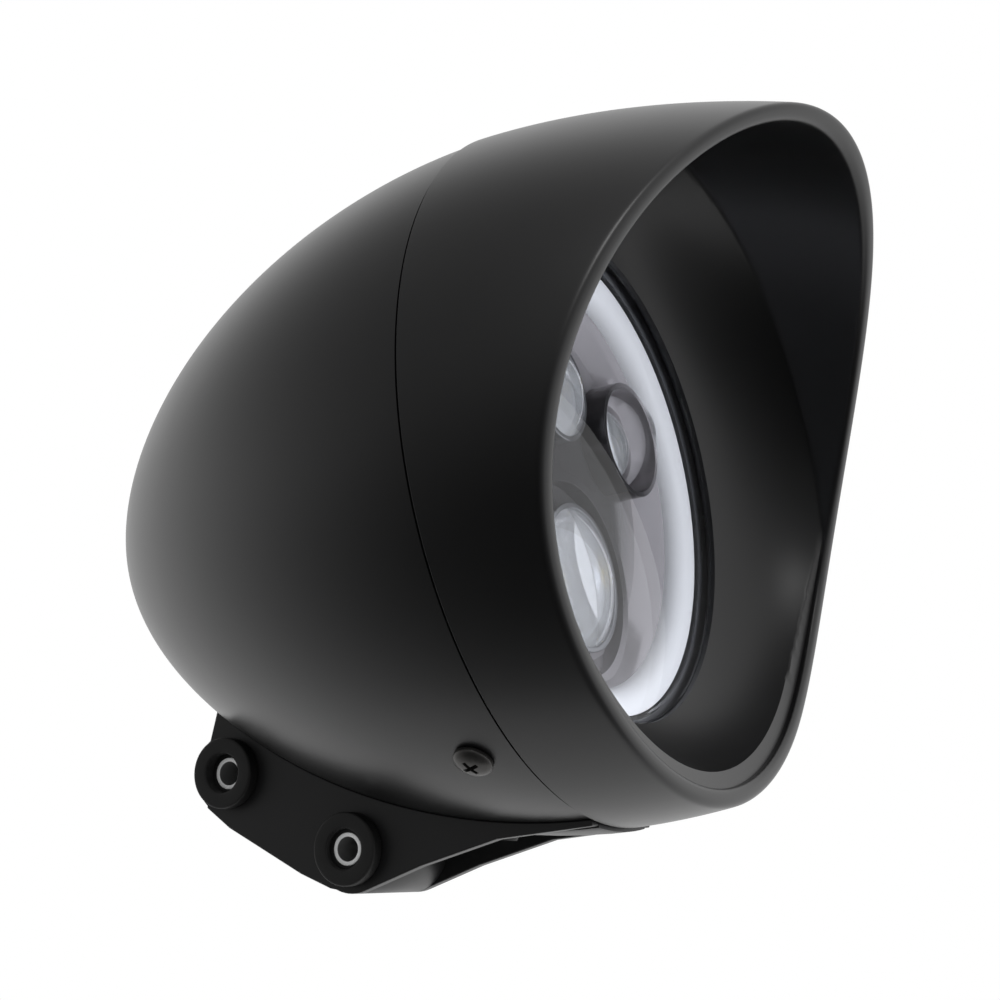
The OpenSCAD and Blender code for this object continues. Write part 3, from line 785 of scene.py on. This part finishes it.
class VisorRing(Assembly):
    """The front ring, whose rim sweeps forward into a deep visor."""

    sizes = VisorSizes()

    def outer(self, s: float) -> float:
        """Returns the ring's outer radius at a distance in front of the seam."""
        size = self.sizes
        return self.lamp.ring_r - size.taper * (max(0.0, s) / self.lamp.reach) ** size.taper_power

    def rim(self, height: float) -> float:
        """Returns how far the rim reaches forward at a height above the lamp axis.

        Args:
            height: Height above the lamp axis.

        Returns:
            The distance in front of the seam.
        """
        size = self.sizes
        top = self.lamp.ring_r - size.taper
        share = max(0.0, height + size.rim_start) / (size.rim_start + top)
        return size.rim_low + (self.lamp.reach - size.rim_low) * share ** size.rim_power

    def rim_at(self, cosine: float, inset: float) -> float:
        """Returns where the rim cuts the wall in one half-plane through the axis.

        Args:
            cosine: Cosine of the half-plane's angle from straight up.
            inset: Distance inside the outer surface.

        Returns:
            The distance in front of the seam.
        """
        s = self.rim((self.lamp.ring_r - inset) * cosine)
        for _ in range(self.sizes.rim_passes):
            s = 0.5 * s + 0.5 * self.rim((self.outer(s) - inset) * cosine)
        return s

    def flare(self) -> List[Point2]:
        """Draws the flare between the opening and the visor's inner wall.

        Returns:
            Radius and distance in front of the seam of each point.
        """
        size = self.sizes
        end_s = size.rim_low + size.flare_past
        start = Vector((size.aperture_r, size.aperture_s))
        end = Vector((self.outer(end_s) - size.lip, end_s))
        bend = Vector((end.x - size.flare_in, size.aperture_s + size.flare_rise))
        return MeshMaker.curve(start, bend, end, size.flare_rows)

    def outline(self, cosine: float) -> List[Point2]:
        """Returns the ring's outline in one half-plane through the axis.

        Args:
            cosine: Cosine of the half-plane's angle from straight up.

        Returns:
            Radius and distance in front of the seam of each point.
        """
        size = self.sizes
        lip: List[Point2] = []
        for i in range(size.lip_rows + 1):
            across = 0.5 - 0.5 * math.cos(math.pi * i / size.lip_rows)
            inset = size.lip * across
            cut = self.rim_at(cosine, inset)
            side = abs(2.0 * across - 1.0) ** size.lip_power
            back = size.lip_round * (1.0 - (1.0 - side) ** (1.0 / size.lip_power))
            lip.append((self.outer(cut - back) - inset, cut - back))
        outer_end, inner_end = lip[0][1], lip[-1][1]
        rows = np.linspace(size.chamfer, outer_end, size.outer_rows, endpoint=False)
        outer = [(self.lamp.ring_r - size.chamfer, 0.0)] + [(self.outer(s), s) for s in rows]
        path = self.flare()
        flare_end = path[-1][1]
        if inner_end > flare_end:
            path += [(self.outer(s) - size.lip, s)
                     for s in np.linspace(flare_end, inner_end, size.wall_rows + 1)[1:]]
        else:
            path = [p for p in path if p[1] < inner_end - size.lip_room]
            path.append(lip[-1])
        inner = self.spread(path, size.inner_rows)[::-1]
        seat_s, spigot_in = size.aperture_s - size.seat, size.spigot_r - size.spigot_wall
        back = [(size.aperture_r, seat_s), (spigot_in, seat_s), (spigot_in, -size.spigot_len),
                (size.spigot_r, -size.spigot_len), (size.spigot_r, 0.0)]
        return outer + lip + inner[1:] + back

    @staticmethod
    def spread(path: Sequence[Point2], count: int) -> List[Point2]:
        """Spaces points evenly along a path.

        Args:
            path: The path's points.
            count: Number of points to return.

        Returns:
            The spaced points.
        """
        points = np.array(path)
        run = np.concatenate([[0.0], np.cumsum(np.hypot(*np.diff(points, axis=0).T))])
        want = np.linspace(0.0, run[-1], count)
        return list(zip(np.interp(want, run, points[:, 0]), np.interp(want, run, points[:, 1])))

    def build(self) -> None:
        """Makes the ring, one outline for each place round the axis."""
        around = self.sizes.around
        angles = [2.0 * math.pi * k / around for k in range(around)]
        outlines = np.array([self.outline(math.cos(a)) for a in angles])
        sine, cosine = np.sin(angles)[:, None], np.cos(angles)[:, None]
        points = np.stack([outlines[..., 0] * sine, outlines[..., 0] * cosine,
                           outlines[..., 1]], axis=-1)
        ring = MeshMaker.grid("visor_ring_skin", points.transpose(1, 0, 2), self.lamp.matrix(),
                              True)
        self.keep(ring, Finishes.BLACK, "visor_ring")


@dataclass
class UnitSizes:
    """Sizes of the light unit, in millimetres."""

    dome_r: float = 67.9
    dome_s: float = 5.8
    dome_rise: float = 3.8
    cover_t: float = 2.4
    flange_r: float = 72.6
    flange_s: float = 2.0
    halo_r: float = 65.6
    halo_in: float = 57.2
    halo_s: float = 1.2
    halo_back: float = -7.0
    pocket_r: float = 17.2
    side_x: float = 37.5
    side_up: float = 18.0
    cover_gap: float = 0.3
    cover_edge: float = 0.8
    cover_rows: int = 40
    halo_bend: float = 1.0
    halo_drop: float = 0.2
    halo_foot: float = -5.6
    halo_rows: int = 24
    pocket_s: float = -10.0
    pocket_len: float = 20.0
    lens_rows: int = 28
    around: int = 192


@dataclass
class LensSizes:
    """Place and size of one lens, in millimetres."""

    node: str
    x: float
    up: float
    s: float
    diameter: float
    rise: float
    depth: float


class LightUnit(Assembly):
    """The light unit: cover, white ring, reflector and lenses."""

    sizes = UnitSizes()
    lenses = (LensSizes("lower_lens", 0.0, -27.0, -5.0, 38.0, 6.0, 4.0),
              LensSizes("upper_lens", 0.0, 26.0, -5.0, 26.0, 5.0, 4.0),
              LensSizes("side_lens_left", -37.5, 18.0, -8.5, 19.0, 3.5, 3.0),
              LensSizes("side_lens_right", 37.5, 18.0, -8.5, 19.0, 3.5, 3.0))

    def dome(self, radius: float, below: float = 0.0) -> Point2:
        """Returns the point of the cover's face, or below it, at a distance from the axis."""
        rise = self.sizes.dome_rise * (1.0 - (radius / self.sizes.dome_r) ** 2)
        return radius, self.sizes.dome_s + rise - below

    def cover(self) -> None:
        """Makes the clear cover, a shallow dome on a flat flange."""
        size = self.sizes
        inner_r, steps = size.halo_r + size.cover_gap, size.cover_rows
        top = [self.dome(size.dome_r * i / steps) for i in range(steps)]
        face_s = size.flange_s + size.cover_t
        rim = MeshMaker.rounded([top[-1], (size.dome_r, size.dome_s), (size.dome_r, face_s)],
                                size.cover_edge, steps=5, closed=False)[1:-1]
        flange = [(size.dome_r, face_s), (size.flange_r, face_s), (size.flange_r, size.flange_s),
                  (inner_r, size.flange_s)]
        below = [self.dome(inner_r * i / steps, size.cover_t) for i in range(steps, -1, -1)]
        cover = MeshMaker.lathe("cover_dome", top + rim + flange + below, self.lamp.matrix(),
                                size.around, loop=False)
        self.keep(cover, Finishes.COVER, "lens_cover")

    def halo(self) -> None:
        """Makes the white ring, cut away at the two side pockets."""
        size = self.sizes
        outer = Vector((size.halo_r, size.halo_s))
        bend = Vector((size.halo_in + size.halo_bend, size.halo_s - size.halo_drop))
        inner = Vector((size.halo_in, size.halo_foot))
        face = MeshMaker.curve(outer, bend, inner, size.halo_rows)
        profile = face + [(size.halo_in, size.halo_back), (size.halo_r, size.halo_back)]
        halo = MeshMaker.lathe("white_ring", profile, self.lamp.matrix(), size.around)
        pocket = [(0.0, 0.0), (size.pocket_r, 0.0), (size.pocket_r, size.pocket_len),
                  (0.0, size.pocket_len)]
        places = [Matrix.Translation((side.value * size.side_x, size.side_up, size.pocket_s))
                  for side in Side]
        MeshMaker.carve(halo, [MeshMaker.lathe("pocket_cut", pocket, self.lamp.matrix() @ place,
                                               loop=False) for place in places])
        self.keep(halo, Finishes.HALO, "halo_ring")

    def lens(self, lens: LensSizes) -> None:
        """Makes one lens with a round front and a flat back.

        Args:
            lens: Its place and size.
        """
        half, steps = lens.diameter / 2, self.sizes.lens_rows
        ball = (half * half + lens.rise * lens.rise) / (2.0 * lens.rise)
        widest = math.asin(half / ball)
        cap = [(ball * math.sin(a), lens.rise - ball + ball * math.cos(a))
               for a in (widest * i / steps for i in range(steps + 1))]
        profile = cap + [(half, -lens.depth), (0.0, -lens.depth)]
        place = Matrix.Translation((lens.x, lens.up, lens.s))
        piece = MeshMaker.lathe(f"{lens.node}_dome", profile, self.lamp.matrix() @ place,
                                loop=False)
        self.keep(piece, Finishes.LENS, lens.node)

    def build(self) -> None:
        """Makes the unit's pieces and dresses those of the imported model."""
        self.cover()
        self.halo()
        for lens in self.lenses:
            self.lens(lens)
        self.dress(Finishes.PANEL, "inner_reflector", edge_mm=0.4)
        self.dress(Finishes.MIRROR, "reflector_cups")
        self.dress(Finishes.HOLDER, "lower_lens_holder", "upper_lens_holder", edge_mm=0.3)
        self.dress(Finishes.BOARD, "led_board")
        self.dress(Finishes.CHIP, "led_chips")
        self.dress(Finishes.CAST, "unit_housing")
        self.dress(Finishes.PLASTIC, "plug_socket")
        self.dress(Finishes.BRASS, "plug_blades")
        self.dress(Finishes.RUBBER, "unit_gasket")


@dataclass
class BushSizes:
    """Sizes of a bush and its sleeve, in millimetres."""

    cheek_x: float = 17.05
    face_x: float = 21.0
    flange_r: float = 10.0
    neck_r: float = 8.0
    neck_x: float = 2.0
    bore_r: float = 4.55
    mouth_r: float = 5.45
    sleeve_r: float = 4.5
    sleeve_bore: float = 3.3
    sleeve_edge: float = 0.3
    edge: float = 0.8


class Bracket(Assembly):
    """The bracket under the shell with its four bushes and two sleeves."""

    sizes = BushSizes()
    recess = {Bolt.FRONT: 2.0, Bolt.REAR: 3.5}

    @staticmethod
    def bolt_matrix(node: str, side: Side) -> Matrix:
        """Returns the map from a form turned about its height to a bolt's axis.

        Args:
            node: A node that lies on the bolt's axis.
            side: The side that the height points to.

        Returns:
            The map, from millimetres to metres.
        """
        low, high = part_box(node)
        y, z = (low.y + high.y) / 2, (low.z + high.z) / 2
        out = side.value * MM
        return Matrix(((0, 0, out, 0), (MM, 0, 0, y), (0, out, 0, z), (0, 0, 0, 1)))

    def bush(self, bolt: Bolt, side: Side) -> None:
        """Makes one rubber bush.

        Args:
            bolt: Which bolt it is on.
            side: Which cheek it is in.
        """
        size = self.sizes
        stop = size.face_x - self.recess[bolt]
        flange = MeshMaker.rounded([
            (size.neck_r, size.cheek_x), (size.flange_r, size.cheek_x),
            (size.flange_r, size.face_x), (size.mouth_r, size.face_x), (size.mouth_r, stop)],
            size.edge, steps=5, closed=False)
        profile = [(size.bore_r, size.neck_x), (size.neck_r, size.neck_x)] + flange + \
            [(size.bore_r, stop)]
        name = f"bush_{bolt.value}_{side.name.lower()}"
        piece = MeshMaker.lathe(name + "_rubber", profile, self.bolt_matrix(name, side))
        self.keep(piece, Finishes.RUBBER, name)

    def sleeve(self, bolt: Bolt) -> None:
        """Makes one steel sleeve.

        Args:
            bolt: Which bolt it is on.
        """
        size = self.sizes
        half = size.face_x - self.recess[bolt]
        profile = MeshMaker.rounded([(size.sleeve_bore, -half), (size.sleeve_r, -half),
                                     (size.sleeve_r, half), (size.sleeve_bore, half)],
                                    size.sleeve_edge, steps=3)
        name = f"sleeve_{bolt.value}"
        piece = MeshMaker.lathe(name + "_tube", profile, self.bolt_matrix(name, Side.RIGHT))
        self.keep(piece, Finishes.SLEEVE, name)

    def build(self) -> None:
        """Makes the bushes and sleeves and dresses the bracket."""
        self.dress(Finishes.BRACKET, "mounting_bracket", "bracket_cheek_left",
                   "bracket_cheek_right", "bracket_boss_front", "bracket_boss_rear", edge_mm=0.35)
        for bolt in Bolt:
            for side in Side:
                self.bush(bolt, side)
            self.sleeve(bolt)
        self.dress(Finishes.ZINC, "bracket_screws", "bracket_washers", "bracket_nuts")
        self.dress(Finishes.RUBBER, "cable_grommet")


@dataclass
class ScrewSizes:
    """Sizes of a ring screw, in millimetres."""

    head_r: float = 5.15
    edge: float = 0.8
    dome: float = 2.2
    lift: float = 0.1
    thread_r: float = 2.4
    thread_len: float = 9.2
    slot_w: float = 1.15
    slot_len: float = 5.4
    slot_depth: float = 1.9
    slot_over: float = 0.5
    # Shares of the slot's size at its floor and at its mouth, and of its width all the way down
    slot_foot: float = 0.35
    slot_mouth: float = 1.15
    slot_core: float = 0.6
    turn_deg: float = 20.0
    under_edge: float = 0.25
    rows: int = 18
    around: int = 72


class RingFasteners(Assembly):
    """The screws that hold the ring to the shell, and what lies behind them."""

    sizes = ScrewSizes()
    distance = 13.0
    angle_deg = 34.5

    def seat(self, side: Side) -> Matrix:
        """Returns the map from a screw's own axes to the row frame.

        Args:
            side: Which side the screw is on.

        Returns:
            The map, from millimetres to metres.
        """
        lamp, form = self.lamp, RearShell.sizes.form
        radius, ahead, behind = (form.radius(self.distance + step, lamp.shell_r, lamp.shell_len)
                                 for step in (0.0, -0.5, 0.5))
        lean = math.atan(ahead - behind)
        turn = Matrix.Rotation(math.radians(self.angle_deg * side.value), 4, "Z")
        place = Matrix.Translation((0.0, -radius, -self.distance))
        tilt = Matrix.Rotation(math.pi / 2 + lean, 4, "X")
        return lamp.matrix() @ turn @ place @ tilt

    def cross(self, seat: Matrix) -> List[bpy.types.Object]:
        """Makes the two tapered blades that cut a cross recess.

        Args:
            seat: The screw's place.

        Returns:
            The blades.
        """
        size = self.sizes
        crown = size.lift + size.edge + size.dome
        top, floor = crown + size.slot_over, crown - size.slot_depth
        half_l, half_w = size.slot_len / 2, size.slot_w / 2
        corners = [(x * half_l * share,
                    y * half_w * (size.slot_core + (1.0 - size.slot_core) * share), z)
                   for z, share in ((floor, size.slot_foot), (top, size.slot_mouth))
                   for x, y in ((-1, -1), (1, -1), (1, 1), (-1, 1))]
        faces = [(3, 2, 1, 0), (4, 5, 6, 7)] + [
            (i, (i + 1) % 4, (i + 1) % 4 + 4, i + 4) for i in range(4)]
        blades = []
        for turn in (0.0, 90.0):
            mesh = bpy.data.meshes.new("cross_cut")
            mesh.from_pydata(corners, [], faces)
            spin = Matrix.Rotation(math.radians(size.turn_deg + turn), 4, "Z")
            mesh.transform(seat @ spin)
            blades.append(add_object("cross_cut", mesh))
        return blades

    def screw(self, side: Side) -> None:
        """Makes one pan-head screw with its cross recess.

        Args:
            side: Which side it is on.
        """
        size, seat = self.sizes, self.seat(side)
        base, steps = size.lift, size.rows
        dome = [(size.head_r * math.sin(a), base + size.edge + size.dome * math.cos(a))
                for a in (math.pi / 2 * i / steps for i in range(steps + 1))]
        under = MeshMaker.rounded([dome[-1], (size.head_r, base), (size.thread_r, base)],
                                  size.under_edge, steps=3, closed=False)[1:]
        shank = [(size.thread_r, -size.thread_len), (0.0, -size.thread_len)]
        name = f"ring_screw_{side.name.lower()}"
        piece = MeshMaker.lathe(name + "_head", dome + under + shank, seat, size.around,
                                loop=False)
        MeshMaker.carve(piece, self.cross(seat), sharp_deg=30.0)
        self.keep(piece, Finishes.SCREW, name)

    def build(self) -> None:
        """Makes both screws and dresses the hidden fasteners."""
        for side in Side:
            self.screw(side)
            self.dress(Finishes.ZINC, f"clip_nut_{side.name.lower()}")
        self.dress(Finishes.RUBBER, "shell_seal")
        self.dress(Finishes.ZINC, "retaining_ring", "retaining_screws")


@dataclass
class StudioSizes:
    """Places and levels of the studio, in metres and degrees."""

    camera_from_seam: Tuple[float, float, float] = (-0.48254, -0.23561, -0.12821)
    azimuth_deg: float = -61.41
    elevation_deg: float = -13.05
    roll_deg: float = -5.82
    lens_mm: float = 72.94
    sensor_mm: float = 36.0
    clip: float = 0.01
    floor_at: Tuple[float, float, float] = (0.3, 0.14, -0.32)
    floor_r: float = 0.42
    ambient: float = 0.55


@dataclass(frozen=True)
class Shade:
    """A soft change of the surround's brightness along one direction."""

    azimuth_deg: float
    elevation_deg: float
    ends: Ends
    levels: Ends

    def direction(self) -> Tuple[float, float, float]:
        """Turns the direction's two angles into a vector.

        Returns:
            The direction, of unit length.
        """
        azimuth, elevation = math.radians(self.azimuth_deg), math.radians(self.elevation_deg)
        return (math.cos(elevation) * math.cos(azimuth), math.cos(elevation) * math.sin(azimuth),
                math.sin(elevation))

    def level(self, shader: Shader, ray: Socket) -> Socket:
        """Returns the brightness along a ray."""
        along = shader.vector(VectorStep.DOT, ray, self.direction(), output="Value")
        return shader.slope(along, self.ends, self.levels)


@dataclass(frozen=True)
class SoftBox:
    """A rectangular lamp."""

    name: str
    place: Tuple[float, float, float]
    aim: Tuple[float, float, float]
    size: Tuple[float, float]
    power: float
    mirrored: bool = True


class Studio:
    """Floor, world, lamps and camera."""

    sizes = StudioSizes()
    pale = Finish("pale_floor", "floor", (0.8, 0.8, 0.8), 0.9, mottle=0.01, mottle_mm=40.0,
                  gloss_spread=0.0, grain_depth_mm=0.0)
    shades = (Shade(-0.3, 29.2, (-1.06, 0.1), (0.0, 1.0)),
              Shade(128.0, 56.2, (0.6, 1.0), (1.0, 0.36)),
              Shade(-110.0, -60.0, (0.6, 0.95), (1.0, 0.3)))
    boxes = (SoftBox("front_box", (0.15, -1.3, 0.0), (0.0, -0.1, 0.08), (0.7, 0.7), 17.0, False),
             SoftBox("side_box", (-0.8, -0.55, 1.0), (0.05, -0.12, 0.12), (0.4, 0.4), 3.2),
             SoftBox("floor_box", (0.7, 0.6, 0.9), (0.3, 0.14, -0.32), (0.5, 0.5), 8.0, False))

    def __init__(self, lamp: LampFrame) -> None:
        """Keeps the lamp's axes."""
        self.lamp = lamp

    def camera(self) -> None:
        """Places the camera at the photograph's view."""
        size = self.sizes
        seam = Vector((0.0, self.lamp.seam_y * MM, self.lamp.axis_z * MM))
        place = seam + Vector(size.camera_from_seam)
        data = bpy.data.cameras.new("camera")
        data.sensor_width = size.sensor_mm
        data.lens = size.lens_mm
        data.clip_start = size.clip
        camera = add_object("camera", data)
        camera.matrix_world = Matrix.Translation(place)
        for angle, axis in ((size.azimuth_deg, "Z"), (90.0 - size.elevation_deg, "X"),
                            (size.roll_deg, "Z")):
            camera.matrix_world @= Matrix.Rotation(math.radians(angle), 4, axis)
        bpy.context.scene.camera = camera

    def floor(self) -> None:
        """Lays the pale floor below the lamp."""
        size = self.sizes
        floor = MeshMaker.lathe("floor", [(0.0, 0.0), (size.floor_r, 0.0)],
                                Matrix.Translation(size.floor_at), loop=False)
        floor.data.materials.append(self.pale.build())

    def world(self) -> None:
        """Makes a surround that is white to the camera and mirrored with its soft shades."""
        world = bpy.data.worlds.new("studio")
        world.use_nodes = True
        bpy.context.scene.world = world
        shader = Shader(world.node_tree)
        ray = shader.node("ShaderNodeTexCoord", output="Generated")
        levels = [shade.level(shader, ray) for shade in self.shades]
        shade = levels[0] * levels[1] * levels[2]
        path = {name: shader.node("ShaderNodeLightPath", output=name) for name in (
            "Is Camera Ray", "Is Glossy Ray", "Is Transmission Ray")}
        mirrored = path["Is Glossy Ray"] | path["Is Transmission Ray"]
        colour = shader.mix(mirrored, (self.sizes.ambient,) * 3 + (1.0,), shade)
        colour = shader.mix(path["Is Camera Ray"], colour, WHITE)
        shader.end(shader.node("ShaderNodeBackground", {}, {"Color": colour, "Strength": 1.0}),
                   "ShaderNodeOutputWorld")

    def lamps(self) -> None:
        """Hangs the soft boxes."""
        for box in self.boxes:
            data = bpy.data.lights.new(box.name, "AREA")
            data.shape = "RECTANGLE"
            data.size, data.size_y = box.size
            data.energy = box.power
            lamp = add_object(box.name, data)
            lamp.visible_glossy = box.mirrored
            aim = Vector(box.aim) - Vector(box.place)
            lamp.matrix_world = Matrix.Translation(box.place) @ \
                aim.to_track_quat("-Z", "Y").to_matrix().to_4x4()

    def build(self) -> None:
        """Sets the whole studio up."""
        self.camera()
        self.floor()
        self.world()
        self.lamps()
        bpy.context.scene.view_settings.view_transform = "Standard"


def main() -> None:
    """Builds the studio and every sub-assembly."""
    logging.basicConfig(level=logging.INFO, format="%(name)s: %(message)s")
    lamp = LampFrame.from_cad()
    LOG.info("lamp frame %s", lamp)
    finishes = Finishes()
    Studio(lamp).build()
    for assembly in (RearShell, VisorRing, LightUnit, Bracket, RingFasteners):
        assembly(lamp, finishes).build()


if __name__ == "__main__":
    main()
